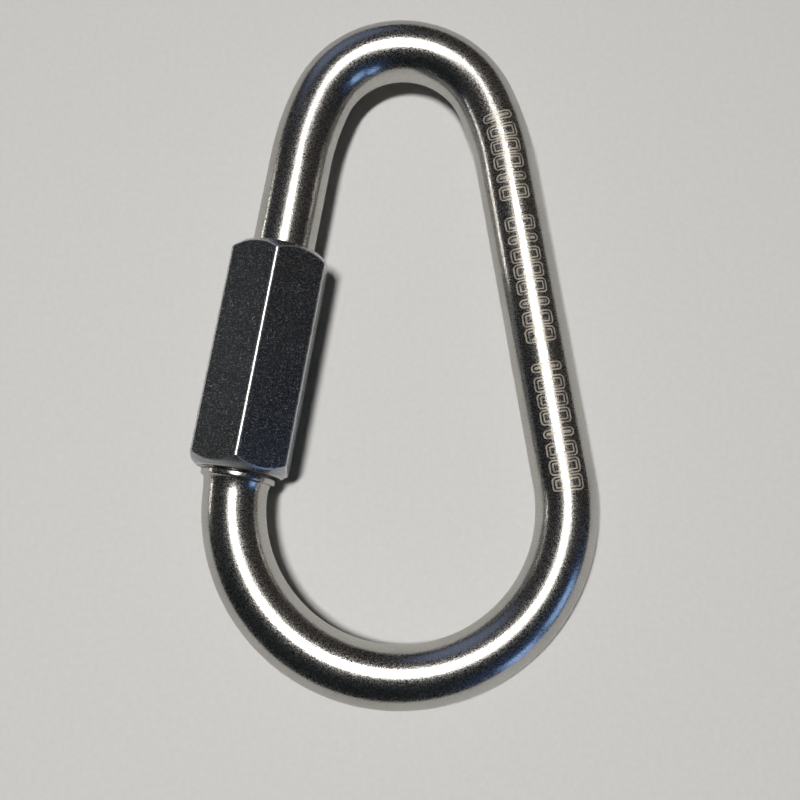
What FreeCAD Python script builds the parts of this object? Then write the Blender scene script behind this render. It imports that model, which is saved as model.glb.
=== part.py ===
import FreeCAD, Part
import Sketcher
import math
import os

# Pear-shaped screw-lock connector: one round bar bent into a pear outline whose two ends face
# each other across a gate gap in one arm, and a long hexagonal sleeve that screws over the gap.
# The link's own frame has its origin at the centre of the wide bow, +X towards the plain arm,
# +Y towards the narrow bow and +Z square to the link. Places along the split arm are measured
# from its foot, the point where the wide bow ends and the straight arm starts.

DIMENSIONS = {
    # bar, and the pear outline of its centre line
    "bar_radius": 6.0,
    "wide_radius": 31.5,
    "arm_angle": 9.4,
    "narrow_radius": 18.0,
    "narrow_half_angle": 65.5,
    "narrow_shoulder_radius": 54.0,
    # right-hand screw thread M14 x 1.5, with running clearance
    "thread_pitch": 1.5,
    "thread_start": 0.6,
    "core_radius": 6.08,
    "crest_radius": 6.92,
    "ridge_foot_width": 1.15,
    "ridge_crest_width": 0.18,
    "bore_radius": 6.2,
    "groove_floor_radius": 7.05,
    "groove_mouth_width": 1.2,
    "groove_floor_width": 0.2,
    # threaded ends of the bar
    "collar_radius": 7.0,
    "collar_root": 0.1,
    "collar_length": 1.35,
    "collar_round": 0.35,
    "lower_tip": 8.5,
    "gate_gap": 14.0,
    "upper_thread_length": 17.0,
    "tip_face_radius": 5.4,
    # hexagonal sleeve
    "sleeve_start": 1.5,
    "sleeve_length": 44.0,
    "across_flats": 18.0,
    "corner_turn": 4.0,
    "corner_round": 0.8,
    "end_face_radius": 8.1,
    "chamfer_crown": 16.0,
    "mouth_radius": 7.3,
    # band of the bore wall half-way along the sleeve
    "band_start": 20.0,
    "band_length": 4.0,
    "band_inner_radius": 7.1,
    "band_outer_radius": 7.6,
    "band_clearance": 0.05,
}

OVERRUN = 0.5            # steel left past a tip, or below a surface, for a later cut or fuse
CUT_REACH = 3.0          # how far a cut goes past the steel that it removes
COLLAR_BREAK = 0.25      # small break on the collar's edge next to the sleeve
RUN_OUT = 1.2            # plain thread blank past the end of the upper thread
SKIN = 0.02              # keeps a cut just clear of the round surface that it runs out on
ROLL_STEPS = 8           # rounds of working out the rest angle, which settles in three

doc = FreeCAD.newDocument("screw_link")


def make_sheet():
    """The driving dimensions, one row each: name, value."""
    sheet = doc.addObject("Spreadsheet::Sheet", "dimensions")
    for row, (name, value) in enumerate(DIMENSIONS.items(), start=1):
        sheet.set(f"A{row}", name)
        sheet.set(f"B{row}", str(value))
        sheet.setAlias(f"B{row}", name)
    doc.recompute()
    return sheet


dimensions = make_sheet()


def size(name):
    return float(dimensions.get(name))


def radians(name):
    return math.radians(size(name))


def ref(name):
    return f"dimensions.{name}"


def vector(x, y, z=0.0):
    return FreeCAD.Vector(x, y, z)


# ---------------------------------------------------------------- sketch helpers

def new_sketch(body, name, role="XY_Plane"):
    sketch = body.newObject("Sketcher::SketchObject", name)
    plane = next(item for item in body.Origin.OriginFeatures if item.Role == role)
    sketch.AttachmentSupport = [(plane, "")]
    sketch.MapMode = "FlatFace"
    return sketch


def bind(sketch, constraint, expression):
    """Add a dimensional constraint that is driven from the sheet."""
    index = sketch.addConstraint(constraint)
    sketch.setExpression(f"Constraints[{index}]", expression)


def at(*terms):
    """A coordinate built from the sheet: names and numbers added, '-name' subtracted."""
    value = 0.0
    words = "0"
    for term in terms:
        if isinstance(term, str):
            name = term.lstrip("-")
            sign = "-" if term.startswith("-") else "+"
            amount = size(name)
            words += f" {sign} {ref(name)}"
        else:
            sign = "-" if term < 0 else "+"
            amount = abs(term)
            words += f" {sign} {amount}"
        value += -amount if sign == "-" else amount
    return value, words


def pin_coordinate(sketch, line, end, kind, coordinate):
    """Hold one coordinate of a line's first or second end at its value from the sheet."""
    value, expression = coordinate
    if abs(value) < 1e-9:
        axis = -2 if kind == "DistanceX" else -1
        sketch.addConstraint(Sketcher.Constraint("PointOnObject", line, end, axis))
    elif value > 0:
        bind(sketch, Sketcher.Constraint(kind, -1, 1, line, end, value), expression)
    else:
        bind(sketch, Sketcher.Constraint(kind, line, end, -1, 1, -value), f"-({expression})")


def pin_point(sketch, line, end, corner):
    across, along = corner
    pin_coordinate(sketch, line, end, "DistanceX", across)
    pin_coordinate(sketch, line, end, "DistanceY", along)


def draw_outline(sketch, corners):
    """A closed polygon through corners, each an (across, along) pair made by at()."""
    points = [vector(across[0], along[0]) for across, along in corners]
    count = len(points)
    for index in range(count):
        sketch.addGeometry(Part.LineSegment(points[index], points[(index + 1) % count]))
    for index in range(count):
        joint = Sketcher.Constraint("Coincident", index, 2, (index + 1) % count, 1)
        sketch.addConstraint(joint)
    for index, corner in enumerate(corners):
        pin_point(sketch, index, 1, corner)


# ---------------------------------------------------------------- features about an axis

def revolve(body, kind, name, profile):
    """Turn a profile about its sketch's vertical axis, as steel or as a cut."""
    feature = body.newObject(f"PartDesign::{kind}", name)
    feature.Profile = (profile, [""])
    feature.ReferenceAxis = (profile, ["V_Axis"])
    feature.Angle = 360
    doc.recompute()
    return feature


def wind(body, kind, name, profile, turns):
    """Wind a profile up its sketch's vertical axis as a right-hand thread."""
    feature = body.newObject(f"PartDesign::{kind}Helix", name)
    feature.Profile = (profile, [""])
    feature.ReferenceAxis = (profile, ["V_Axis"])
    feature.Mode = "pitch-turns-angle"
    feature.setExpression("Pitch", ref("thread_pitch"))
    feature.Turns = turns
    feature.Angle = 0
    feature.LeftHanded = False
    feature.Reversed = False
    doc.recompute()
    return feature


# ---------------------------------------------------------------- outline of the link

def polar(centre, radius, direction):
    return centre + vector(radius * math.cos(direction), radius * math.sin(direction))


def mirrored(point):
    return vector(-point.x, point.y)


def arc(centre, radius, start, end):
    return Part.ArcOfCircle(Part.Circle(centre, vector(0, 0, 1), radius), start, end)


def arm_foot():
    """Foot of the plain arm; the split arm's foot is its mirror image."""
    return polar(vector(0, 0), size("wide_radius"), radians("arm_angle"))


def arm_length():
    """Straight length of an arm, which closes the outline at the narrow bow."""
    alpha, beta = radians("arm_angle"), radians("narrow_half_angle")
    shoulder = size("narrow_shoulder_radius")
    half_width = size("narrow_radius") * math.sin(beta)
    half_width += shoulder * (math.cos(alpha) - math.sin(beta))
    return (arm_foot().x - half_width) / math.sin(alpha)


def draw_long_path(body):
    """Half the wide bow, the plain arm, the narrow bow and the upper end of the split arm."""
    alpha = radians("arm_angle")
    shoulder, narrow = size("narrow_shoulder_radius"), size("narrow_radius")
    narrow_start = math.pi / 2 - radians("narrow_half_angle")
    foot = arm_foot()
    head = foot + vector(-math.sin(alpha), math.cos(alpha)) * arm_length()
    shoulder_centre = polar(head, -shoulder, alpha)
    narrow_centre = polar(shoulder_centre, shoulder - narrow, narrow_start)
    tip_distance = size("lower_tip") + size("gate_gap") - OVERRUN
    tip = mirrored(foot) + vector(math.sin(alpha), math.cos(alpha)) * tip_distance
    sketch = new_sketch(body, "long_path")
    sketch.addGeometry([
        arc(vector(0, 0), size("wide_radius"), -math.pi / 2, alpha),
        Part.LineSegment(foot, head),
        arc(shoulder_centre, shoulder, alpha, narrow_start),
        arc(narrow_centre, narrow, narrow_start, math.pi - narrow_start),
        arc(mirrored(shoulder_centre), shoulder, math.pi - narrow_start, math.pi - alpha),
        Part.LineSegment(mirrored(head), tip),
    ])
    split_foot = sketch.addGeometry(Part.Point(mirrored(foot)), True)
    sketch.addConstraint([
        Sketcher.Constraint("Coincident", 0, 3, -1, 1),
        Sketcher.Constraint("PointOnObject", 0, 1, -2),
        Sketcher.Constraint("Symmetric", 3, 1, 3, 2, -2),
        Sketcher.Constraint("Symmetric", 1, 1, split_foot, 1, -2),
    ])
    for index in range(5):
        sketch.addConstraint(Sketcher.Constraint("Tangent", index, 2, index + 1, 1))
    for index, name in ((0, "wide_radius"), (2, "narrow_shoulder_radius"),
                        (3, "narrow_radius"), (4, "narrow_shoulder_radius")):
        bind(sketch, Sketcher.Constraint("Radius", index, size(name)), ref(name))
    bind(sketch, Sketcher.Constraint("Angle", 1, math.pi / 2 + alpha),
         f"90 deg + {ref('arm_angle')} * 1 deg")
    bind(sketch, Sketcher.Constraint("Angle", 3, 2 * radians("narrow_half_angle")),
         f"2 * {ref('narrow_half_angle')} * 1 deg")
    bind(sketch, Sketcher.Constraint("Distance", split_foot, 1, 5, 2, tip_distance),
         f"{ref('lower_tip')} + {ref('gate_gap')} - {OVERRUN}")
    return sketch


def draw_short_path(body):
    """The other half of the wide bow and the lower end of the split arm."""
    alpha = radians("arm_angle")
    foot = mirrored(arm_foot())
    stub_length = size("lower_tip") - OVERRUN
    tip = foot + vector(math.sin(alpha), math.cos(alpha)) * stub_length
    sketch = new_sketch(body, "short_path")
    sketch.addGeometry([
        arc(vector(0, 0), size("wide_radius"), math.pi - alpha, math.pi * 3 / 2),
        Part.LineSegment(foot, tip),
    ])
    sketch.addConstraint([
        Sketcher.Constraint("Coincident", 0, 3, -1, 1),
        Sketcher.Constraint("PointOnObject", 0, 2, -2),
        Sketcher.Constraint("Tangent", 0, 1, 1, 1),
    ])
    bind(sketch, Sketcher.Constraint("Radius", 0, size("wide_radius")), ref("wide_radius"))
    bind(sketch, Sketcher.Constraint("Angle", 1, math.pi / 2 - alpha),
         f"90 deg - {ref('arm_angle')} * 1 deg")
    bind(sketch, Sketcher.Constraint("Distance", 1, 1, 1, 2, stub_length),
         f"{ref('lower_tip')} - {OVERRUN}")
    return sketch


def draw_bar_section(body, name):
    """The bar's round section, where the wide bow crosses the link's centre plane."""
    sketch = new_sketch(body, name, "YZ_Plane")
    centre = vector(-size("wide_radius"), 0)
    sketch.addGeometry(Part.Circle(centre, vector(0, 0, 1), size("bar_radius")))
    sketch.addConstraint(Sketcher.Constraint("PointOnObject", 0, 3, -1))
    bind(sketch, Sketcher.Constraint("DistanceX", 0, 3, -1, 1, size("wide_radius")),
         ref("wide_radius"))
    bind(sketch, Sketcher.Constraint("Radius", 0, size("bar_radius")), ref("bar_radius"))
    return sketch


# ---------------------------------------------------------------- the bent bar

def new_arm_sketch(body, name):
    """A sketch in the link's plane: across the split arm, and along it from its foot."""
    sketch = new_sketch(body, name)
    turn = FreeCAD.Rotation(vector(0, 0, 1), -size("arm_angle"))
    sketch.AttachmentOffset = FreeCAD.Placement(mirrored(arm_foot()), turn)
    alpha = f"({ref('arm_angle')} * 1 deg)"
    sketch.setExpression("AttachmentOffset.Base.x",
                         f"-{ref('wide_radius')} * cos({alpha}) * 1 mm")
    sketch.setExpression("AttachmentOffset.Base.y",
                         f"{ref('wide_radius')} * sin({alpha}) * 1 mm")
    sketch.setExpression("AttachmentOffset.Rotation.Angle", f"-{alpha}")
    return sketch


def draw_ridge(body, name, centre):
    """Section of the thread's ridge, its foot sunk into the blank; centre is a term list."""
    foot, crest = size("ridge_foot_width") / 2, size("ridge_crest_width") / 2
    sketch = new_arm_sketch(body, name)
    draw_outline(sketch, [
        (at("core_radius", -OVERRUN), at(*centre, -foot)),
        (at("core_radius"), at(*centre, -foot)),
        (at("crest_radius"), at(*centre, -crest)),
        (at("crest_radius"), at(*centre, crest)),
        (at("core_radius"), at(*centre, foot)),
        (at("core_radius", -OVERRUN), at(*centre, foot)),
    ])
    return sketch


def thread_lower_end(body):
    """Collar that stops the sleeve, thread blank, ridge and chamfered tip."""
    blank = new_arm_sketch(body, "lower_blank")
    draw_outline(blank, [
        (at(0.0), at("-collar_root")),
        (at("collar_radius", "-collar_round"), at("-collar_root")),
        (at("collar_radius"), at("collar_round", "-collar_root")),
        (at("collar_radius"), at("collar_length", -COLLAR_BREAK)),
        (at("collar_radius", -COLLAR_BREAK), at("collar_length")),
        (at("core_radius"), at("collar_length")),
        (at("core_radius"), at("lower_tip", OVERRUN)),
        (at(0.0), at("lower_tip", OVERRUN)),
    ])
    revolve(body, "Revolution", "lower_core", blank)
    length = size("lower_tip") + OVERRUN - size("thread_start")
    wind(body, "Additive", "lower_thread", draw_ridge(body, "lower_ridge", ["thread_start"]),
         length / size("thread_pitch"))
    cut = new_arm_sketch(body, "lower_tip_cut")
    draw_outline(cut, [
        (at(0.0), at("lower_tip")),
        (at("tip_face_radius"), at("lower_tip")),
        (at("tip_face_radius", CUT_REACH), at("lower_tip", -CUT_REACH)),
        (at("tip_face_radius", CUT_REACH), at("lower_tip", CUT_REACH)),
        (at(0.0), at("lower_tip", CUT_REACH)),
    ])
    revolve(body, "Groove", "lower_chamfer", cut)


def thread_upper_end(body):
    """Thread blank, ridge on the same helix as the lower one, chamfered tip and run-out."""
    tip = ["lower_tip", "gate_gap"]
    end = tip + ["upper_thread_length"]
    blank = new_arm_sketch(body, "upper_blank")
    draw_outline(blank, [
        (at(0.0), at(*tip, -OVERRUN)),
        (at("core_radius"), at(*tip, -OVERRUN)),
        (at("core_radius"), at(*end, RUN_OUT)),
        (at("core_radius", -OVERRUN), at(*end, RUN_OUT, OVERRUN)),
        (at(0.0), at(*end, RUN_OUT, OVERRUN)),
    ])
    revolve(body, "Revolution", "upper_core", blank)
    pitch = size("thread_pitch")
    turns_away = math.floor((at(*tip)[0] - size("thread_start")) / pitch)
    start = ["thread_start", turns_away * pitch]
    length = at(*end)[0] + OVERRUN - at(*start)[0]
    wind(body, "Additive", "upper_thread", draw_ridge(body, "upper_ridge", start), length / pitch)
    cut = new_arm_sketch(body, "upper_tip_cut")
    draw_outline(cut, [
        (at(0.0), at(*tip)),
        (at("tip_face_radius"), at(*tip)),
        (at("tip_face_radius", CUT_REACH), at(*tip, CUT_REACH)),
        (at("tip_face_radius", CUT_REACH), at(*tip, -CUT_REACH)),
        (at(0.0), at(*tip, -CUT_REACH)),
    ])
    revolve(body, "Groove", "upper_chamfer", cut)
    fade = new_arm_sketch(body, "run_out_cut")
    draw_outline(fade, [
        (at("core_radius", SKIN), at(*end)),
        (at("core_radius", SKIN, CUT_REACH), at(*end, -CUT_REACH)),
        (at("core_radius", SKIN, CUT_REACH), at(*end, CUT_REACH)),
        (at("core_radius", SKIN), at(*end, CUT_REACH)),
    ])
    revolve(body, "Groove", "run_out", fade)


def build_link():
    body = doc.addObject("PartDesign::Body", "link_body")
    for name, draw_path in (("long", draw_long_path), ("short", draw_short_path)):
        path = draw_path(body)
        pipe = body.newObject("PartDesign::AdditivePipe", f"{name}_bar")
        pipe.Profile = (draw_bar_section(body, f"{name}_section"), [""])
        pipe.Spine = (path, [])
        doc.recompute()
    thread_lower_end(body)
    thread_upper_end(body)
    return body


# ---------------------------------------------------------------- the hexagonal sleeve
# The sleeve's own frame has its origin at the middle of its lower face and +Y up its axis.

def pad_up(body, sketch, name, length_alias):
    """Pad a sketch on the XZ plane towards +Y."""
    pad = body.newObject("PartDesign::Pad", name)
    pad.Profile = (sketch, [""])
    pad.Type = "Length"
    pad.setExpression("Length", ref(length_alias))
    pad.Reversed = True
    doc.recompute()
    return pad


def draw_hexagon(body):
    """Hexagon with one corner corner_turn away from +Z towards +X."""
    sketch = new_sketch(body, "hexagon", "XZ_Plane")
    corner_radius = size("across_flats") / math.sqrt(3)
    first = math.pi / 2 - radians("corner_turn")
    points = [polar(vector(0, 0), corner_radius, first + k * math.pi / 3) for k in range(6)]
    for k in range(6):
        sketch.addGeometry(Part.LineSegment(points[k], points[(k + 1) % 6]))
    rim = sketch.addGeometry(Part.Circle(vector(0, 0), vector(0, 0, 1), corner_radius), True)
    sketch.addConstraint(Sketcher.Constraint("Coincident", rim, 3, -1, 1))
    for k in range(6):
        sketch.addConstraint(Sketcher.Constraint("Coincident", k, 2, (k + 1) % 6, 1))
        sketch.addConstraint(Sketcher.Constraint("PointOnObject", k, 1, rim))
    for k in range(1, 6):
        sketch.addConstraint(Sketcher.Constraint("Equal", 0, k))
    bind(sketch, Sketcher.Constraint("Radius", rim, corner_radius),
         f"{ref('across_flats')} / sqrt(3)")
    bind(sketch, Sketcher.Constraint("Angle", 0, first + 2 * math.pi / 3),
         f"210 deg - {ref('corner_turn')} * 1 deg")
    return sketch


def round_corners(body, bar):
    """Round the hexagon's six long edges."""
    length = size("sleeve_length")
    edges = [f"Edge{index}" for index, edge in enumerate(bar.Shape.Edges, start=1)
             if abs(edge.Length - length) < 1e-6]
    fillet = body.newObject("PartDesign::Fillet", "rounded_corners")
    fillet.Base = (bar, edges)
    fillet.setExpression("Radius", ref("corner_round"))
    doc.recompute()


def draw_crowned_cut(sketch, corners, inward):
    """A closed outline through corners whose first side bulges out of the steel."""
    points = [vector(across[0], along[0]) for across, along in corners]
    count = len(points)
    crown = size("chamfer_crown")
    half = (points[1] - points[0]) / 2
    square = vector(-half.y, half.x).normalize() * inward
    centre = points[0] + half + square * math.sqrt(crown ** 2 - half.Length ** 2)
    starts = [points[0], points[1]] if inward > 0 else [points[1], points[0]]
    start, end = (math.atan2(point.y - centre.y, point.x - centre.x) for point in starts)
    first, second = (1, 2) if inward > 0 else (2, 1)
    sketch.addGeometry(arc(centre, crown, start, end))
    for index in range(1, count):
        sketch.addGeometry(Part.LineSegment(points[index], points[(index + 1) % count]))
    sketch.addConstraint(Sketcher.Constraint("Coincident", 0, second, 1, 1))
    for index in range(1, count - 1):
        sketch.addConstraint(Sketcher.Constraint("Coincident", index, 2, index + 1, 1))
    sketch.addConstraint(Sketcher.Constraint("Coincident", count - 1, 2, 0, first))
    bind(sketch, Sketcher.Constraint("Radius", 0, crown), ref("chamfer_crown"))
    pin_point(sketch, count - 1, 2, corners[0])
    for index in range(1, count):
        pin_point(sketch, index, 1, corners[index])


def chamfer_corners(body, name, end, inward):
    """Turn the corners back at about 45 degrees; inward is +1 at the lower end, else -1."""
    cut = new_sketch(body, name + "_cut")
    draw_crowned_cut(cut, [
        (at("end_face_radius"), at(*end)),
        (at("end_face_radius", CUT_REACH), at(*end, inward * CUT_REACH)),
        (at("end_face_radius", CUT_REACH), at(*end, -inward * CUT_REACH)),
        (at("end_face_radius"), at(*end, -inward * CUT_REACH)),
    ], inward)
    revolve(body, "Groove", name, cut)


def bore_sleeve(body):
    """Bore with a countersunk mouth at each end."""
    top = ["sleeve_length"]
    cut = new_sketch(body, "bore_cut")
    draw_outline(cut, [
        (at(0.0), at(-CUT_REACH)),
        (at("mouth_radius", CUT_REACH), at(-CUT_REACH)),
        (at("mouth_radius"), at(0.0)),
        (at("bore_radius"), at("mouth_radius", "-bore_radius")),
        (at("bore_radius"), at(*top, "bore_radius", "-mouth_radius")),
        (at("mouth_radius"), at(*top)),
        (at("mouth_radius", CUT_REACH), at(*top, CUT_REACH)),
        (at(0.0), at(*top, CUT_REACH)),
    ])
    revolve(body, "Groove", "bore", cut)


def thread_sleeve(body):
    """The groove that the bar's thread runs in, right through the sleeve."""
    pitch = size("thread_pitch")
    centre = ["thread_start", "-sleeve_start", -pitch]
    mouth, floor = size("groove_mouth_width") / 2, size("groove_floor_width") / 2
    profile = new_sketch(body, "groove_section")
    draw_outline(profile, [
        (at("bore_radius", -OVERRUN), at(*centre, -mouth)),
        (at("bore_radius"), at(*centre, -mouth)),
        (at("groove_floor_radius"), at(*centre, -floor)),
        (at("groove_floor_radius"), at(*centre, floor)),
        (at("bore_radius"), at(*centre, mouth)),
        (at("bore_radius", -OVERRUN), at(*centre, mouth)),
    ])
    turns = math.ceil((size("sleeve_length") - at(*centre)[0]) / pitch) + 1
    wind(body, "Subtractive", "internal_thread", profile, turns)


def relieve_sleeve(body):
    """Ring-shaped recess, half-way along the bore, that the bore band fills."""
    low = ["band_start", "-band_clearance"]
    high = ["band_start", "band_length", "band_clearance"]
    cut = new_sketch(body, "relief_cut")
    draw_outline(cut, [
        (at("bore_radius", -OVERRUN), at(*low)),
        (at("band_outer_radius", "band_clearance"), at(*low)),
        (at("band_outer_radius", "band_clearance"), at(*high)),
        (at("bore_radius", -OVERRUN), at(*high)),
    ])
    revolve(body, "Groove", "relief", cut)


def build_sleeve():
    body = doc.addObject("PartDesign::Body", "screw_sleeve")
    bar = pad_up(body, draw_hexagon(body), "hexagon_bar", "sleeve_length")
    round_corners(body, bar)
    chamfer_corners(body, "lower_corners", [0.0], 1)
    chamfer_corners(body, "upper_corners", ["sleeve_length"], -1)
    bore_sleeve(body)
    thread_sleeve(body)
    relieve_sleeve(body)
    return body


def build_band():
    """The plain middle band of the sleeve's bore wall, a ring that travels with the sleeve."""
    body = doc.addObject("PartDesign::Body", "sleeve_bore_band")
    section = new_sketch(body, "band_section")
    draw_outline(section, [
        (at("band_inner_radius"), at("band_start")),
        (at("band_outer_radius"), at("band_start")),
        (at("band_outer_radius"), at("band_start", "band_length")),
        (at("band_inner_radius"), at("band_start", "band_length")),
    ])
    revolve(body, "Revolution", "band_ring", section)
    return body


# ---------------------------------------------------------------- assembly and files

def sleeve_placement():
    """From the sleeve's own frame to the link's."""
    alpha = radians("arm_angle")
    start = vector(math.sin(alpha), math.cos(alpha)) * size("sleeve_start")
    turn = FreeCAD.Rotation(vector(0, 0, 1), -size("arm_angle"))
    return FreeCAD.Placement(mirrored(arm_foot()) + start, turn)


def rest_roll():
    """Angle about the split arm at which the part lies still on a table.

    The sleeve stands on its lowest corner and the bar on the far side of the wide bow, which
    is one bow diameter away from the split arm.
    """
    rounding = size("corner_round")
    reach = (size("across_flats") - 2 * rounding) / math.sqrt(3)
    roll = 0.0
    for _ in range(ROLL_STEPS):
        drop = reach * math.cos(radians("corner_turn") + roll) + rounding
        roll = math.asin((drop - size("bar_radius")) / (2 * size("wide_radius")))
    return math.degrees(roll)


def place_parts(link, sleeve, band):
    """Lay the link on the table plane, with the origin under the middle of the whole part."""
    alpha = radians("arm_angle")
    arm = vector(math.sin(alpha), math.cos(alpha))
    roll = FreeCAD.Placement(vector(0, 0), FreeCAD.Rotation(arm, rest_roll()))
    link.Placement = roll
    sleeve.Placement = roll.multiply(sleeve_placement())
    band.Placement = sleeve.Placement
    doc.recompute()
    box = link.Shape.optimalBoundingBox(False)
    box.add(sleeve.Shape.optimalBoundingBox(False))
    offset = FreeCAD.Placement(vector(-box.Center.x, -box.Center.y, -box.ZMin),
                               FreeCAD.Rotation())
    for body in (link, sleeve, band):
        body.Placement = offset.multiply(body.Placement)
    doc.recompute()


def check_document(bodies):
    """Stop if any feature failed or any sub-part isn't one sound solid."""
    for item in doc.Objects:
        if "Invalid" in item.State or "Error" in item.State:
            raise RuntimeError(f"{item.Label} failed: {item.State}")
    for body in bodies:
        shape = body.Shape
        if shape.isNull() or not shape.isValid() or len(shape.Solids) != 1:
            raise RuntimeError(f"{body.Label} is not one sound solid")


def export_parts(bodies):
    os.makedirs("parts", exist_ok=True)
    for body in bodies:
        body.Shape.exportStep(f"parts/{body.Label}.step")
        print(f"{body.Label}: {body.Shape.Volume:.1f} cubic mm")


link_body = build_link()
screw_sleeve = build_sleeve()
sleeve_bore_band = build_band()
place_parts(link_body, screw_sleeve, sleeve_bore_band)
all_bodies = [link_body, screw_sleeve, sleeve_bore_band]
check_document(all_bodies)
export_parts(all_bodies)
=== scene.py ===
import math

import bpy
import numpy as np
from mathutils import Euler, Matrix, Vector


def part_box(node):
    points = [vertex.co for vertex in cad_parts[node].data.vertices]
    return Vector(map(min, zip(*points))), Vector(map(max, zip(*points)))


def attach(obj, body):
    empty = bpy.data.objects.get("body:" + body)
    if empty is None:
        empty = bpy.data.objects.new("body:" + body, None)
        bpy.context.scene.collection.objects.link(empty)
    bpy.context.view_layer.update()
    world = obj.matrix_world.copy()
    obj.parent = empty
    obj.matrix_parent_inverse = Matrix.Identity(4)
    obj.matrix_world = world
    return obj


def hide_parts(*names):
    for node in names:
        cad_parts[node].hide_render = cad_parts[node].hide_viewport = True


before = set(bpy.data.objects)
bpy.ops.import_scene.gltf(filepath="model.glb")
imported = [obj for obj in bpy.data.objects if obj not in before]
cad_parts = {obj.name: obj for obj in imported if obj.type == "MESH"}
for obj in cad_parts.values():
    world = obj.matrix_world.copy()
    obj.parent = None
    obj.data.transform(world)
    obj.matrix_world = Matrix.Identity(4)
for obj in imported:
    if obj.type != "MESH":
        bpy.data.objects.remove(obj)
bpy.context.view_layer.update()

# A pear-shaped screw-lock link: one bent bar with a thread on each end, and a hexagonal sleeve
# that screws over the gap between the ends. Each is a detailed mesh in place of its CAD node.
# Lengths are in metres. Angles are in radians, except for the lights and the room, where they are
# in degrees. "Along" is up an arm from its foot, or up the sleeve from its lower face.
MM = 0.001

# ---------------------------------------------------------------- sizes, as in the CAD model
# the bar, and the pear outline of its centre line
BAR_RADIUS = 6.0 * MM
WIDE_RADIUS = 31.5 * MM
ARM_ANGLE = math.radians(9.4)
NARROW_RADIUS = 18.0 * MM
NARROW_HALF_ANGLE = math.radians(65.5)
SHOULDER_RADIUS = 54.0 * MM
# the thread on the bar's ends, and the groove in the sleeve
PITCH = 1.5 * MM
THREAD_START = 0.6 * MM
CORE_RADIUS = 6.08 * MM
CREST_RADIUS = 6.92 * MM
RIDGE_FOOT = 1.15 * MM
RIDGE_CREST = 0.18 * MM
BORE_RADIUS = 6.2 * MM
GROOVE_RADIUS = 7.05 * MM
GROOVE_MOUTH = 1.2 * MM
GROOVE_FLOOR = 0.2 * MM
# the bar's two ends
COLLAR_RADIUS = 7.0 * MM
COLLAR_LENGTH = 1.35 * MM
COLLAR_ROOT = 0.1 * MM
LOWER_TIP = 8.5 * MM
UPPER_TIP = 22.5 * MM
UPPER_THREAD_END = 39.5 * MM
RUN_OUT = 1.2 * MM
TIP_FACE_RADIUS = 5.4 * MM
# the sleeve
SLEEVE_START = 1.5 * MM
SLEEVE_LENGTH = 44.0 * MM
FLAT_RADIUS = 9.0 * MM
CORNER_TURN = math.radians(4.0)
END_FACE_RADIUS = 8.1 * MM
CHAMFER_CROWN = 16.0 * MM
CHAMFER_REACH = 3.0 * MM
CORNER_ROUND = 0.8 * MM
MOUTH_RADIUS = 7.3 * MM
RELIEF = (19.95 * MM, 24.05 * MM)
RELIEF_RADIUS = 7.65 * MM

# ---------------------------------------------------------------- finer shapes, in these meshes only
COLLAR_BEAD = 0.5 * MM          # radius of the collar's rounded edges
FLARE_LENGTH = 2.6 * MM         # the bar swells a little towards the collar
FLARE_RISE = 0.3 * MM
EDGE = 0.14 * MM                # how far the rounding of a chamfer's edge reaches on each side
EDGE_TURN = math.radians(45.0)  # about how much the surface turns at such an edge
EDGE_SINK = 0.199 * EDGE        # how deep the middle of the rounding lies under the sharp edge
LIP_RADII = (MOUTH_RADIUS + 0.3 * MM, MOUTH_RADIUS + 0.06 * MM)     # last rows of an end face
LIP_DEPTH = 0.03 * MM           # from there down to the first row inside the bore's mouth

# ---------------------------------------------------------------- how fine the meshes are
COLUMNS = 96                    # vertices round the bar
BAR_STEP = 0.75 * MM
FLARE_STEP = 0.2 * MM
THREAD_STEP = 0.125 * MM
BORE_STEP = 0.1875 * MM
FLAT_STEP = 1.6 * MM
FLAT_MARGIN = 3.2 * MM          # from the sleeve's end to the first level row on its flats
BORE_MARGIN = 0.1 * MM          # from the sleeve's end to the first row of its bore
RELIEF_GAP = 0.02 * MM          # from a wall of the bore's recess to the row beside it
CORNER_DIVISIONS = 6            # on each half of a rounded corner
# shares of the way across a flat, out over the bar's end face, and round the collar's edge
FLAT_SHARES = (0.02, 0.06, 0.14, 0.25, 0.375, 0.5, 0.625, 0.75, 0.86, 0.94, 0.98)
CAP_SHARES = (0.35, 0.7, 0.95)
BEAD_SHARES = (0.001, 0.03, 0.11, 0.24, 0.41, 0.6, 0.8, 1.0)
HAIR = 0.01 * MM                # sets two rows just apart at a sharp step

# ---------------------------------------------------------------- meshes


def add_mesh(name, vertices, faces, smooth=True):
    mesh = bpy.data.meshes.new(name)
    mesh.from_pydata([tuple(v) for v in vertices], [], faces)
    mesh.update()
    mesh.polygons.foreach_set("use_smooth", [smooth] * len(mesh.polygons))
    obj = bpy.data.objects.new(name, mesh)
    bpy.context.scene.collection.objects.link(obj)
    return obj


def grid_faces(rows, columns, flip=False):
    """Quads of a tube: rows of vertices one after another, each row closed on itself."""
    faces = []
    for i in range(rows - 1):
        low, high = i * columns, (i + 1) * columns
        for j in range(columns):
            k = (j + 1) % columns
            quad = (low + j, low + k, high + k, high + j)
            faces.append(quad[::-1] if flip else quad)
    return faces


def stations(breaks, step):
    """Places from the first break to the last, about a step apart, with every break among them."""
    places = []
    for low, high in zip(breaks, breaks[1:]):
        count = max(1, round(abs(high - low) / step))
        places += [low + (high - low) * k / count for k in range(count)]
    return places + [breaks[-1]]


# ---------------------------------------------------------------- the bar's centre line


def unit(angle):
    return np.array([math.cos(angle), math.sin(angle), 0.0])


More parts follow.
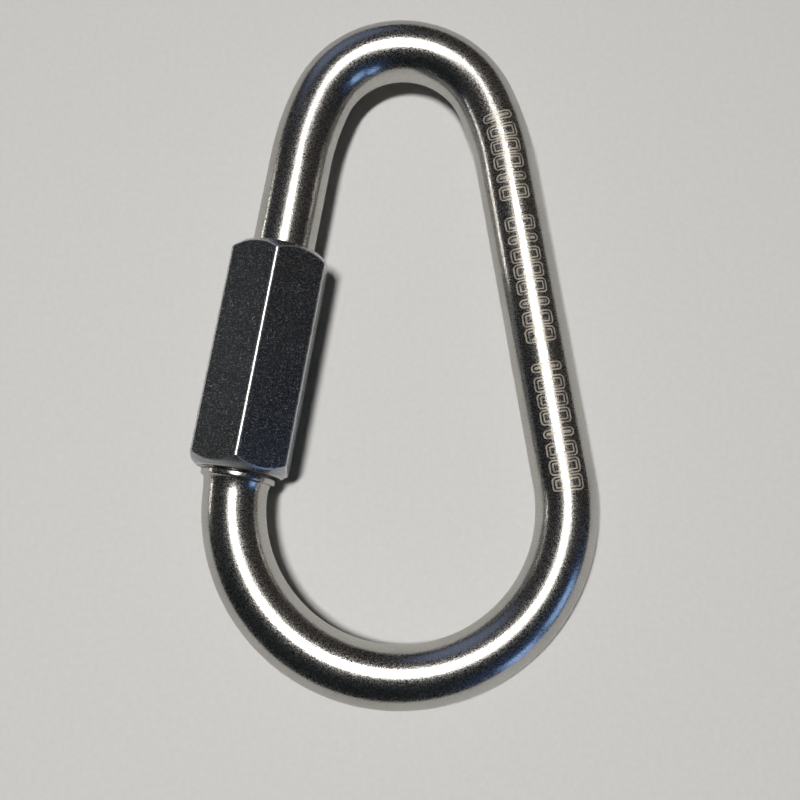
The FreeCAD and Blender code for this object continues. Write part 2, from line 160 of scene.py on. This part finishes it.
# The origin is the centre of the wide bow, the split arm is on the left, the plain arm on the right.
ARM_FOOT = WIDE_RADIUS * unit(math.pi - ARM_ANGLE)
ARM_DIRECTION = unit(math.pi / 2 - ARM_ANGLE)
NARROW_START = math.pi / 2 - NARROW_HALF_ANGLE
ARM_LENGTH = (
    WIDE_RADIUS * math.cos(ARM_ANGLE)
    - NARROW_RADIUS * math.sin(NARROW_HALF_ANGLE)
    - SHOULDER_RADIUS * (math.cos(ARM_ANGLE) - math.sin(NARROW_HALF_ANGLE))
) / math.sin(ARM_ANGLE)
PLAIN_FOOT = WIDE_RADIUS * unit(ARM_ANGLE)
PLAIN_HEAD = PLAIN_FOOT + ARM_LENGTH * unit(math.pi / 2 + ARM_ANGLE)
SHOULDER_CENTRE = PLAIN_HEAD - SHOULDER_RADIUS * unit(ARM_ANGLE)
NARROW_CENTRE = SHOULDER_CENTRE + (SHOULDER_RADIUS - NARROW_RADIUS) * unit(NARROW_START)
MIRROR = np.array([-1.0, 1.0, 1.0])


def arc_run(centre, radius, start, end):
    """A stretch of the centre line: its length, and a function from 0..1 to point and tangent."""

    def place(share):
        angle = start + (end - start) * share
        return centre + radius * unit(angle), unit(angle + math.pi / 2)

    return radius * (end - start), place


def straight_run(start, direction, length):
    """A straight stretch, in the same form as arc_run gives."""

    def place(share):
        return start + direction * length * share, direction

    return length, place


# from the lower tip round both bows to the upper tip
RUNS = [
    straight_run(ARM_FOOT + ARM_DIRECTION * LOWER_TIP, -ARM_DIRECTION, LOWER_TIP),
    arc_run(np.zeros(3), WIDE_RADIUS, math.pi - ARM_ANGLE, 2 * math.pi + ARM_ANGLE),
    straight_run(PLAIN_FOOT, unit(math.pi / 2 + ARM_ANGLE), ARM_LENGTH),
    arc_run(SHOULDER_CENTRE, SHOULDER_RADIUS, ARM_ANGLE, NARROW_START),
    arc_run(NARROW_CENTRE, NARROW_RADIUS, NARROW_START, math.pi - NARROW_START),
    arc_run(SHOULDER_CENTRE * MIRROR, SHOULDER_RADIUS, math.pi - NARROW_START, math.pi - ARM_ANGLE),
    straight_run(PLAIN_HEAD * MIRROR, -ARM_DIRECTION, ARM_LENGTH - UPPER_TIP),
]
PATH_LENGTH = sum(run[0] for run in RUNS)
PLAIN_ARM_FOOT = RUNS[0][0] + RUNS[1][0]


def centre_line(distance):
    """Point and tangent of the bar's centre line, that far from the lower tip."""
    for length, place in RUNS:
        if distance <= length:
            return place(distance / length)
        distance -= length
    return RUNS[-1][1](1.0)


# ---------------------------------------------------------------- the bar


def ridge_height(along, angle, centre, foot, crest):
    """0 at the foot and 1 at the crest of a right-hand ridge, at places along and round an axis."""
    turn = (along - centre) / PITCH - angle / (2 * math.pi)
    off = np.abs(turn - np.round(turn)) * PITCH
    return np.clip((foot / 2 - off) / ((foot - crest) / 2), 0.0, 1.0)


def arm_radius(along, angle):
    """Radius of the bar on the split arm, at a place along it and at angles round it."""
    ridge = ridge_height(along, angle, THREAD_START, RIDGE_FOOT, RIDGE_CREST)
    thread = CORE_RADIUS + (CREST_RADIUS - CORE_RADIUS) * ridge
    if along < -COLLAR_ROOT:
        share = (along + FLARE_LENGTH) / (FLARE_LENGTH - COLLAR_ROOT)
        return np.full_like(angle, BAR_RADIUS + FLARE_RISE * max(0.0, share) ** 2)
    if along < COLLAR_LENGTH:
        half = (COLLAR_LENGTH + COLLAR_ROOT) / 2
        off = abs(along + COLLAR_ROOT - half) - (half - COLLAR_BEAD)
        sink = COLLAR_BEAD - math.sqrt(max(0.0, COLLAR_BEAD ** 2 - max(0.0, off) ** 2))
        return np.full_like(angle, COLLAR_RADIUS - sink)
    if along <= LOWER_TIP:
        return np.minimum(thread, TIP_FACE_RADIUS + LOWER_TIP - along)
    if along < UPPER_THREAD_END:
        return np.minimum(thread, TIP_FACE_RADIUS + along - UPPER_TIP)
    end = UPPER_THREAD_END + RUN_OUT
    return np.full_like(angle, max(BAR_RADIUS, CORE_RADIUS - max(0.0, along - end)))


def build_link():
    """The bar's vertices and faces, and for each vertex its place along, across and above the bar.

    Here along starts at the foot of the plain arm.
    """
    angles = np.arange(COLUMNS) * 2 * math.pi / COLUMNS
    arm_angles = angles + math.pi
    upward = np.array([0.0, 0.0, 1.0])
    rings, places = [], []

    def add_ring(distance, radius):
        point, tangent = centre_line(distance)
        outward = np.array([tangent[1], -tangent[0], 0.0])
        across, up = radius * np.cos(angles), radius * np.sin(angles)
        rings.append(point + np.outer(across, outward) + np.outer(up, upward))
        places.append(np.stack([np.full(COLUMNS, distance - PLAIN_ARM_FOOT), across, up], axis=1))

    # lower tip, its thread, the collar's bead and the flare
    for share in CAP_SHARES:
        add_ring(0.0, np.full(COLUMNS, TIP_FACE_RADIUS * share))
    bead = [COLLAR_LENGTH - COLLAR_BEAD * share for share in BEAD_SHARES]
    bead += [COLLAR_BEAD * share - COLLAR_ROOT for share in reversed(BEAD_SHARES)]
    flare = stations([-COLLAR_ROOT - HAIR, -FLARE_LENGTH], FLARE_STEP)
    for along in stations([LOWER_TIP, COLLAR_LENGTH], THREAD_STEP) + bead + flare:
        add_ring(LOWER_TIP - along, arm_radius(along, arm_angles))

    # plain bar round both bows, then the upper thread and its tip
    thread_rise = CORE_RADIUS - BAR_RADIUS
    plain_end = PATH_LENGTH - (UPPER_THREAD_END + RUN_OUT + thread_rise - UPPER_TIP)
    for distance in stations([LOWER_TIP + FLARE_LENGTH, plain_end], BAR_STEP)[1:]:
        add_ring(distance, np.full(COLUMNS, BAR_RADIUS))
    upper = [UPPER_THREAD_END + RUN_OUT, UPPER_THREAD_END + RUN_OUT / 3]
    upper += stations([UPPER_THREAD_END, UPPER_TIP], THREAD_STEP)
    for along in upper:
        add_ring(PATH_LENGTH - (along - UPPER_TIP), arm_radius(along, arm_angles))
    for share in reversed(CAP_SHARES):
        add_ring(PATH_LENGTH, np.full(COLUMNS, TIP_FACE_RADIUS * share))

    # one vertex in the middle of each end face closes it
    faces = grid_faces(len(rings), COLUMNS)
    last = (len(rings) - 1) * COLUMNS
    low = last + COLUMNS
    high = low + 1
    for j in range(COLUMNS):
        k = (j + 1) % COLUMNS
        faces.append((low, k, j))
        faces.append((high, last + j, last + k))
    middles = [centre_line(0.0)[0], centre_line(PATH_LENGTH)[0]]
    return np.concatenate(rings + [middles]), faces, np.concatenate(places + [np.zeros((2, 3))])


# ---------------------------------------------------------------- the sleeve

SIDES = 6
SIDE_ANGLE = 2 * math.pi / SIDES
# from the sleeve's axis to the centre of a corner's rounding, and half the angle that it takes up
CORNER_CENTRE = (FLAT_RADIUS - CORNER_ROUND) / math.cos(SIDE_ANGLE / 2)
CORNER_HALF_ANGLE = math.atan2(CORNER_ROUND * math.sin(SIDE_ANGLE / 2),
                               CORNER_CENTRE + CORNER_ROUND * math.cos(SIDE_ANGLE / 2))

# How worn bare the steel is, from 0 to 1. The lighter worn steel is also a painted highlight:
# it brightens the edges as glints along them would. Fully where the chamfers meet the flats,
# less at the end faces, and less again on the long corners, where it ends a little way on to the
# flats.
OUTER_EDGE_WEAR_AND_SHEEN = 1.0
INNER_EDGE_WEAR_AND_SHEEN = 0.7
CORNER_WEAR_AND_SHEEN_ANGLES = np.radians([0.0, 1.8, 3.0])
CORNER_WEAR_AND_SHEEN = [0.6, 0.6, 0.0]
CHAMFER_WEAR_AND_SHEEN = ((0.0, INNER_EDGE_WEAR_AND_SHEEN), (0.15, 0.0), (0.4, 0.0), (0.7, 0.0), (0.9, 0.0),
                (1.0, OUTER_EDGE_WEAR_AND_SHEEN))     # at shares of the way out over a chamfer


def from_corner(angle):
    """How far an angle round the sleeve is from the nearest long corner."""
    return abs((angle + SIDE_ANGLE / 2) % SIDE_ANGLE - SIDE_ANGLE / 2)


def hexagon_radius(angle):
    """Radius of the hexagon with rounded corners at an angle from one of its corners."""
    off = from_corner(angle)
    if off < CORNER_HALF_ANGLE:
        return (CORNER_CENTRE * math.cos(off)
                + math.sqrt(CORNER_ROUND ** 2 - (CORNER_CENTRE * math.sin(off)) ** 2))
    return FLAT_RADIUS / math.cos(SIDE_ANGLE / 2 - off)


def chamfer_along(radius):
    """Distance from the sleeve's end to its crowned chamfer, at radii from its axis."""
    half = CHAMFER_REACH / 2
    rise = math.sqrt(CHAMFER_CROWN ** 2 - 2 * half ** 2) / math.sqrt(2)
    across, along = END_FACE_RADIUS + half - rise, half + rise
    return along - np.sqrt(CHAMFER_CROWN ** 2 - (radius - across) ** 2)


def sleeve_angles():
    """Angles round the sleeve from its corner, closer together on the rounded corners."""
    corner = [CORNER_HALF_ANGLE * k / CORNER_DIVISIONS
              for k in range(-CORNER_DIVISIONS, CORNER_DIVISIONS + 1)]
    flat = SIDE_ANGLE - 2 * CORNER_HALF_ANGLE
    side = corner + [CORNER_HALF_ANGLE + flat * share for share in FLAT_SHARES]
    return np.array([k * SIDE_ANGLE + angle for k in range(SIDES) for angle in side])


def chamfer_rows(hexagon, corner_wear_and_sheen):
    """Rows over one end's chamfer, from end face to flats: radius, distance, wear with painted
    highlight.
    """
    zero = np.zeros_like(hexagon)
    half_edge = EDGE / math.sqrt(2)
    shallow, steep = EDGE_SINK * math.sin(EDGE_TURN / 2), EDGE_SINK * math.cos(EDGE_TURN / 2)
    rows = [
        (zero + END_FACE_RADIUS - EDGE, zero, zero),
        (zero + END_FACE_RADIUS - shallow, zero + steep, zero + INNER_EDGE_WEAR_AND_SHEEN),
    ]
    low, high = END_FACE_RADIUS + half_edge, hexagon - half_edge
    for share, wear_and_sheen in CHAMFER_WEAR_AND_SHEEN:
        radius = low + (high - low) * share
        rows.append((radius, chamfer_along(radius), zero + wear_and_sheen))
    edge = chamfer_along(hexagon)
    rows.append((hexagon - steep, edge + shallow, zero + OUTER_EDGE_WEAR_AND_SHEEN))
    rows.append((hexagon, edge + EDGE, zero + OUTER_EDGE_WEAR_AND_SHEEN))
    rows.append((hexagon, edge + 2 * EDGE, corner_wear_and_sheen))
    return rows


def bore_rows(angles):
    """Rows down the threaded bore from the upper end to the lower, with the recess half-way."""
    zero = np.zeros_like(angles)
    groove_centre = THREAD_START - SLEEVE_START - PITCH
    places = stations([SLEEVE_LENGTH - BORE_MARGIN, RELIEF[1] + RELIEF_GAP], BORE_STEP)
    places += [RELIEF[1], RELIEF[0]]
    places += stations([RELIEF[0] - RELIEF_GAP, BORE_MARGIN], BORE_STEP)
    rows = []
    for along in places:
        groove = ridge_height(along, angles, groove_centre, GROOVE_MOUTH, GROOVE_FLOOR)
        radius = BORE_RADIUS + (GROOVE_RADIUS - BORE_RADIUS) * groove
        radius = np.maximum(radius, MOUTH_RADIUS - min(along, SLEEVE_LENGTH - along))
        if RELIEF[0] <= along <= RELIEF[1]:
            radius = np.maximum(radius, RELIEF_RADIUS)
        rows.append((radius, zero + along, zero))
    return rows


def build_sleeve():
    """The sleeve's vertices, faces and wear with painted highlight; axis on Y, lower face at 0."""
    offsets = sleeve_angles()
    columns = len(offsets)
    angles = offsets - (math.pi / 2 - CORNER_TURN)
    hexagon = np.array([hexagon_radius(a) for a in offsets])
    corner_wear_and_sheen = np.interp(from_corner(offsets), CORNER_WEAR_AND_SHEEN_ANGLES, CORNER_WEAR_AND_SHEEN)
    zero = np.zeros(columns)

    def flat_row(radius, along):
        return zero + radius, zero + along, zero

    # up the outside, in over the top face, down the bore and out over the bottom face
    chamfer = chamfer_rows(hexagon, corner_wear_and_sheen)
    rows = list(chamfer)
    for along in stations([FLAT_MARGIN, SLEEVE_LENGTH - FLAT_MARGIN], FLAT_STEP):
        rows.append((hexagon, zero + along, corner_wear_and_sheen))
    rows += [(radius, SLEEVE_LENGTH - along, wear_and_sheen) for radius, along, wear_and_sheen in reversed(chamfer)]
    rows += [flat_row(radius, SLEEVE_LENGTH) for radius in LIP_RADII]
    rows.append(flat_row(MOUTH_RADIUS, SLEEVE_LENGTH - LIP_DEPTH))
    rows += bore_rows(angles)
    rows.append(flat_row(MOUTH_RADIUS, LIP_DEPTH))
    rows += [flat_row(radius, 0.0) for radius in reversed(LIP_RADII)]

    vertices = [np.stack([radius * np.cos(angles), along, -radius * np.sin(angles)], axis=1)
                for radius, along, _ in rows]
    faces = grid_faces(len(rows), columns, flip=True)
    last = (len(rows) - 1) * columns
    for j in range(columns):
        k = (j + 1) % columns
        faces.append((k, j, last + j, last + k))
    return np.concatenate(vertices), faces, np.concatenate([wear_and_sheen for _, _, wear_and_sheen in rows])


# ---------------------------------------------------------------- both pieces in their places


def placed(vertices, rotation, translation):
    return vertices @ np.array(rotation.to_3x3()).T + np.array(translation)


# The link lies tilted about its split arm, so that the sleeve's corner and the far side of the
# wide bow rest on the table. The angle settles in a few rounds.
ROLL_ROUNDS = 8
roll = 0.0
for _ in range(ROLL_ROUNDS):
    drop = CORNER_CENTRE * math.cos(CORNER_TURN + roll) + CORNER_ROUND
    roll = math.asin((drop - BAR_RADIUS) / (2 * WIDE_RADIUS))
roll_matrix = Matrix.Rotation(roll, 4, Vector(ARM_DIRECTION))

link_vertices, link_faces, link_places = build_link()
link_vertices = placed(link_vertices, roll_matrix, (0, 0, 0))
link_low, link_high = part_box("link_body")
link_centre = (link_vertices.min(0) + link_vertices.max(0)) / 2
link_offset = (np.array(link_low) + np.array(link_high)) / 2 - link_centre
link = add_mesh("link_bar", link_vertices + link_offset, link_faces)
place_on_bar = link.data.attributes.new("place_on_bar", "FLOAT_VECTOR", "POINT")
place_on_bar.data.foreach_set("vector", link_places.ravel())

sleeve_vertices, sleeve_faces, sleeve_wear_and_sheen = build_sleeve()
lean = Matrix.Rotation(-ARM_ANGLE, 4, "Z")
sleeve_vertices = placed(sleeve_vertices, lean, ARM_FOOT + ARM_DIRECTION * SLEEVE_START)
sleeve_vertices = placed(sleeve_vertices, roll_matrix, link_offset)
sleeve = add_mesh("hexagonal_sleeve", sleeve_vertices, sleeve_faces)
sleeve.data.attributes.new("wear_and_sheen", "FLOAT", "POINT").data.foreach_set("value", sleeve_wear_and_sheen)

# ---------------------------------------------------------------- materials


def set_socket(tree, socket, value):
    """Link a socket to another one, or give it a plain value."""
    if isinstance(value, bpy.types.NodeSocket):
        tree.links.new(value, socket)
    else:
        socket.default_value = value


def add_node(tree, kind, values, **settings):
    node = tree.nodes.new(kind)
    for key, value in settings.items():
        setattr(node, key, value)
    for key, value in values.items():
        set_socket(tree, node.inputs[key], value)
    return node


class Nodes:
    """Short ways to add and join shader nodes in one material."""

    def __init__(self, name):
        self.material = bpy.data.materials.new(name)
        self.material.use_nodes = True
        self.tree = self.material.node_tree
        self.shader = self.tree.nodes["Principled BSDF"]

    def add(self, kind, values=None, **settings):
        return add_node(self.tree, kind, values or {}, **settings)

    def finish(self, socket, value):
        set_socket(self.tree, self.shader.inputs[socket], value)

    def place(self):
        return self.add("ShaderNodeTexCoord").outputs["Object"]

    def attribute(self, name, output):
        return self.add("ShaderNodeAttribute", attribute_name=name).outputs[output]

    def noise(self, scale, detail, roughness, vector=None):
        """Noise from 0 to 1, with the scale in features per metre."""
        node = self.add("ShaderNodeTexNoise", {
            "Scale": scale, "Detail": detail, "Roughness": roughness, "Vector": vector or self.place()})
        return node.outputs["Fac"]

    def ramp(self, value, low, high, to_low=0.0, to_high=1.0):
        """A value that goes from to_low to to_high as the given one goes from low to high."""
        node = self.add("ShaderNodeMapRange", {
            "Value": value, "From Min": low, "From Max": high, "To Min": to_low, "To Max": to_high})
        return node.outputs["Result"]

    def math(self, operation, a, b=0.0):
        return self.add("ShaderNodeMath", {0: a, 1: b}, operation=operation).outputs[0]

    def mix_colour(self, share, a, b):
        return self.add("ShaderNodeMix", {0: share, 6: a, 7: b}, data_type="RGBA").outputs[2]

    def bump(self, height, strength, distance):
        node = self.add("ShaderNodeBump", {"Height": height, "Strength": strength, "Distance": distance})
        return node.outputs["Normal"]


# The etched line on the plain arm: a row of plain hollow boxes, each with a double outline.
MARKS = (-2.6 * MM, 74.2 * MM)      # where the row starts and ends, up the plain arm
MARK_CENTRE = -0.2 * MM             # of the row, across the bar
MARK_STEP = 3.2 * MM
WIDE_MARK = 2.7 * MM
NARROW_MARK = 1.5 * MM
MARK_HEIGHT = 5.6 * MM
MARK_ROUND = 0.7 * MM
MARK_STROKE = 0.27 * MM
INNER_OUTLINE = 0.6 * MM            # from the outer outline in to the inner one
NARROW_EVERY = 4.0                  # one box in this many is narrow
BLANK_EVERY = 9.0                   # and one in this many is left out


def etched_marks(n):
    """1 on the outlines of the boxes and 0 elsewhere; some boxes are narrow and some left out."""
    place = n.attribute("place_on_bar", "Vector")
    along, across, up = n.add("ShaderNodeSeparateXYZ", {"Vector": place}).outputs
    count = n.math("DIVIDE", n.math("SUBTRACT", along, MARKS[0] - MARK_STEP), MARK_STEP)
    middle = n.math("SUBTRACT", n.math("FRACT", count), 0.5)
    off_along = n.math("ABSOLUTE", n.math("MULTIPLY", middle, MARK_STEP))
    off_across = n.math("ABSOLUTE", n.math("SUBTRACT", across, MARK_CENTRE))

    # distance from the outline of a rounded box, less than 0 inside it
    narrow = n.math("LESS_THAN", n.math("FLOORED_MODULO", count, NARROW_EVERY), 1.0)
    half_length = n.ramp(narrow, 0.0, 1.0, WIDE_MARK / 2 - MARK_ROUND, NARROW_MARK / 2 - MARK_ROUND)
    past_length = n.math("SUBTRACT", off_along, half_length)
    past_height = n.math("SUBTRACT", off_across, MARK_HEIGHT / 2 - MARK_ROUND)
    corner = n.add("ShaderNodeCombineXYZ", {
        "X": n.math("MAXIMUM", past_length, 0.0), "Y": n.math("MAXIMUM", past_height, 0.0)})
    outside = n.add("ShaderNodeVectorMath", {0: corner.outputs[0]}, operation="LENGTH")
    inside = n.math("MINIMUM", n.math("MAXIMUM", past_length, past_height), 0.0)
    rim = n.math("SUBTRACT", n.math("ADD", outside.outputs["Value"], inside), MARK_ROUND)

    outer = n.math("LESS_THAN", n.math("ABSOLUTE", rim), MARK_STROKE / 2)
    inner = n.math("ABSOLUTE", n.math("ADD", rim, INNER_OUTLINE))
    inner = n.math("LESS_THAN", inner, MARK_STROKE / 2)
    mark = n.math("MAXIMUM", outer, inner)
    kept = n.math("GREATER_THAN", n.math("FLOORED_MODULO", count, BLANK_EVERY), 1.0)
    low, high = n.math("GREATER_THAN", along, MARKS[0]), n.math("LESS_THAN", along, MARKS[1])
    on_top = n.math("MULTIPLY", n.math("MULTIPLY", low, high), n.math("GREATER_THAN", up, 0.0))
    return n.math("MULTIPLY", n.math("MULTIPLY", mark, kept), on_top)


def tumbled_steel():
    """Bright tumbled steel: a polish broken by a fine haze and specks, and the etched line."""
    n = Nodes("tumbled_stainless")
    grain = n.noise(6200.0, 1.0, 0.5)
    specks = n.noise(4300.0, 1.0, 0.5)
    broad = n.noise(90.0, 4.0, 0.6)
    fading = n.noise(900.0, 3.0, 0.6)
    mark = n.math("MULTIPLY", etched_marks(n), n.ramp(fading, 0.3, 0.6, 0.3, 0.85))
    metal = n.mix_colour(n.ramp(broad, 0.35, 0.65), (0.48, 0.465, 0.44, 1), (0.55, 0.535, 0.51, 1))
    n.finish("Base Color", n.mix_colour(mark, metal, (0.52, 0.45, 0.36, 1)))
    n.finish("Metallic", n.ramp(mark, 0.0, 1.0, 1.0, 0.3))
    n.finish("Specular Tint", (0.8, 0.8, 0.8, 1))
    haze = n.ramp(grain, 0.43, 0.62, 0.09, 0.34)
    rough = n.math("ADD", haze, n.ramp(specks, 0.60, 0.67, 0.0, 0.12))
    n.finish("Roughness", n.math("MAXIMUM", rough, n.ramp(mark, 0.0, 1.0, 0.0, 0.55)))
    n.finish("Normal", n.bump(specks, 0.17, 0.1 * MM))
    return n.material


def blasted_steel():
    """Blasted steel, its grey darkened as painted shade: bright specks, a few short scratches,
    and edges worn bright, which also paints a highlight along them.
    """
    n = Nodes("blasted_steel")
    grain = n.noise(5200.0, 2.0, 0.6)
    specks = n.noise(4600.0, 1.0, 0.5)
    broad = n.noise(160.0, 3.0, 0.6)
    stretched = n.add("ShaderNodeMapping", {
        "Vector": n.place(), "Rotation": (0.2, 0.3, 0.5), "Scale": (1.0, 9.0, 1.0)})
    scratches = n.noise(650.0, 0.0, 0.5, stretched.outputs[0])
    bright = n.math("MAXIMUM", n.ramp(specks, 0.62, 0.69), n.ramp(scratches, 0.83, 0.85))
    patchy = n.ramp(n.noise(1500.0, 2.0, 0.5), 0.30, 0.45, 0.4, 1.0)
    wear_and_sheen = n.math("MULTIPLY", n.attribute("wear_and_sheen", "Fac"), patchy)
    # This grey is darker than the bar's steel: partly the dull blasted finish, and partly painted shade
    # for flats that mirror a dark room.
    metal = n.mix_colour(n.ramp(broad, 0.35, 0.65), (0.29, 0.305, 0.32, 1), (0.36, 0.375, 0.39, 1))
    metal = n.mix_colour(bright, metal, (0.74, 0.75, 0.76, 1))
    # Lighter steel where worn: real wear, and also a painted highlight along the edges.
    n.finish("Base Color", n.mix_colour(wear_and_sheen, metal, (0.70, 0.70, 0.69, 1)))
    n.finish("Metallic", 1.0)
    haze = n.ramp(grain, 0.35, 0.65, 0.21, 0.30)
    rough = n.math("ADD", haze, n.ramp(bright, 0.0, 1.0, 0.0, 0.24))
    n.finish("Roughness", n.math("ADD", rough, n.ramp(wear_and_sheen, 0.0, 1.0, 0.0, 0.08)))
    n.finish("Normal", n.bump(grain, 0.12, 0.1 * MM))
    return n.material


steel = tumbled_steel()
blasted = blasted_steel()
for piece, body, node, material, slot in (
        (link, "link", "link_body", steel, "link_steel"),
        (sleeve, "sleeve", "screw_sleeve", blasted, "sleeve_steel")):
    piece.data.materials.append(material)
    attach(piece, body)
    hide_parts(node)
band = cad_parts["sleeve_bore_band"]
band.data.materials.clear()
band.data.materials.append(blasted)

# ---------------------------------------------------------------- floor and lights

FLOOR_HALF_SIDE = 6.0
FLOOR_DEPTH = 0.1 * MM              # how far the floor is below the part
FLOOR_GLOW = 0.60                   # the floor's own light, none near the part and full far away
FLOOR_GLOW_START = 0.14
FLOOR_GLOW_FULL = 1.0


def build_floor():
    """A pale floor that stays about as pale far from the key light as it is under it."""
    n = Nodes("pale_floor")
    fibre = n.noise(900.0, 4.0, 0.6)
    n.finish("Base Color", n.mix_colour(
        n.ramp(fibre, 0.3, 0.7), (0.60, 0.60, 0.59, 1), (0.63, 0.63, 0.62, 1)))
    n.finish("Roughness", 0.85)
    n.finish("Specular IOR Level", 0.2)
    away = n.add("ShaderNodeVectorMath", {0: n.place()}, operation="LENGTH").outputs["Value"]
    n.finish("Emission Color", (1.0, 1.0, 0.985, 1))
    n.finish("Emission Strength", n.ramp(away, FLOOR_GLOW_START, FLOOR_GLOW_FULL, 0.0, FLOOR_GLOW))
    corners = [(x * FLOOR_HALF_SIDE, y * FLOOR_HALF_SIDE, -FLOOR_DEPTH)
               for x, y in ((-1, -1), (1, -1), (1, 1), (-1, 1))]
    floor = add_mesh("floor", corners, [(0, 1, 2, 3)], smooth=False)
    floor.data.materials.append(n.material)


def direction(azimuth, zenith):
    """Unit vector at an azimuth from +X and an angle from straight up, in degrees."""
    a, z = math.radians(azimuth), math.radians(zenith)
    return Vector((math.sin(z) * math.cos(a), math.sin(z) * math.sin(a), math.cos(z)))


def add_light(name, place, size_x, size_y, power, colour, on_floor=False):
    """An area light turned to the part. It gives diffuse light only, for the floor, or else it
    shows in glossy reflections only: in the metal, and faintly in the floor.
    """
    data = bpy.data.lights.new(name, "AREA")
    data.shape = "RECTANGLE"
    data.size, data.size_y = size_x, size_y
    data.energy = power
    data.color = colour
    light = bpy.data.objects.new(name, data)
    light.location = place
    light.rotation_euler = (-Vector(place)).to_track_quat("-Z", "Y").to_euler()
    light.visible_camera = False
    light.visible_diffuse, light.visible_glossy = on_floor, not on_floor
    bpy.context.scene.collection.objects.link(light)


SOFT_WHITE = (1.0, 0.98, 0.95)
PANE_DISTANCE = 1.2
build_floor()
add_light("key", (-0.046, -0.043, 0.70), 0.05, 0.12, 4.8, (1.0, 0.985, 0.96), on_floor=True)
add_light("softbox", (0.055, 0.12, 0.70), 0.36, 0.38, 1.0, SOFT_WHITE)
add_light("softbox_core", (0.055, 0.14, 0.69), 0.10, 0.30, 1.6, SOFT_WHITE)
add_light("near_pane", direction(-28, 73) * PANE_DISTANCE, 0.34, 0.40, 0.55, (0.34, 0.58, 1.0))
add_light("far_pane", direction(-49, 79) * PANE_DISTANCE, 0.26, 0.38, 0.42, (0.32, 0.52, 1.0))
add_light("low_strip", direction(164, 81) * PANE_DISTANCE, 0.62, 0.07, 0.75, (1.0, 0.97, 0.92))

# ---------------------------------------------------------------- the room round the part

world = bpy.data.worlds.new("studio")
world.use_nodes = True
bpy.context.scene.world = world
world.cycles_visibility.diffuse = False
room_tree = world.node_tree
view = add_node(room_tree, "ShaderNodeTexCoord", {}).outputs["Generated"]


def add_glow(under, azimuth, zenith, inner, outer, colour):
    """Lay a round patch of light over the room: full inside one angle, fading out by the other."""
    toward = add_node(room_tree, "ShaderNodeVectorMath", {
        0: view, 1: direction(azimuth, zenith)}, operation="DOT_PRODUCT")
    share = add_node(room_tree, "ShaderNodeMapRange", {
        "Value": toward.outputs["Value"], "From Min": math.cos(math.radians(outer)),
        "From Max": math.cos(math.radians(inner))}, interpolation_type="SMOOTHSTEP")
    mix = add_node(room_tree, "ShaderNodeMix", {
        0: share.outputs["Result"], 6: under, 7: colour}, data_type="RGBA")
    return mix.outputs[2]


# The metal mirrors a dark room with soft patches, which adds no diffuse light to the floor. Where
# the camera sees past the floor's edge, a pale backdrop shows instead.
BACKDROP = (0.62, 0.62, 0.61, 1)
room = (0.012, 0.015, 0.017, 1)
room = add_glow(room, 45, 60, 10, 55, (0.039, 0.034, 0.030, 1))
room = add_glow(room, 150, 55, 5, 45, (0.028, 0.029, 0.031, 1))
room = add_glow(room, 112, 66, 5, 24, (0.18, 0.22, 0.34, 1))
room = add_glow(room, -38, 70, 12, 36, (0.02, 0.036, 0.09, 1))
seen_directly = add_node(room_tree, "ShaderNodeLightPath", {}).outputs["Is Camera Ray"]
shown = add_node(room_tree, "ShaderNodeMix", {0: seen_directly, 6: room, 7: BACKDROP}, data_type="RGBA")
set_socket(room_tree, room_tree.nodes["Background"].inputs["Color"], shown.outputs[2])

# ---------------------------------------------------------------- camera, above the wide bow

camera_data = bpy.data.cameras.new("camera")
camera_data.sensor_width = 36.0
camera_data.lens = 47.25
camera_data.shift_x = -0.075
camera_data.shift_y = 0.0375
camera_data.clip_start, camera_data.clip_end = 0.01, 20.0
camera = bpy.data.objects.new("camera", camera_data)
camera.location = (0.01738, -0.05043, 0.20651)
camera.rotation_euler = Euler((math.radians(9.856), math.radians(1.477), math.radians(-0.150)), "XYZ")
bpy.context.scene.collection.objects.link(camera)
bpy.context.scene.camera = camera
bpy.context.scene.view_settings.view_transform = "Standard"
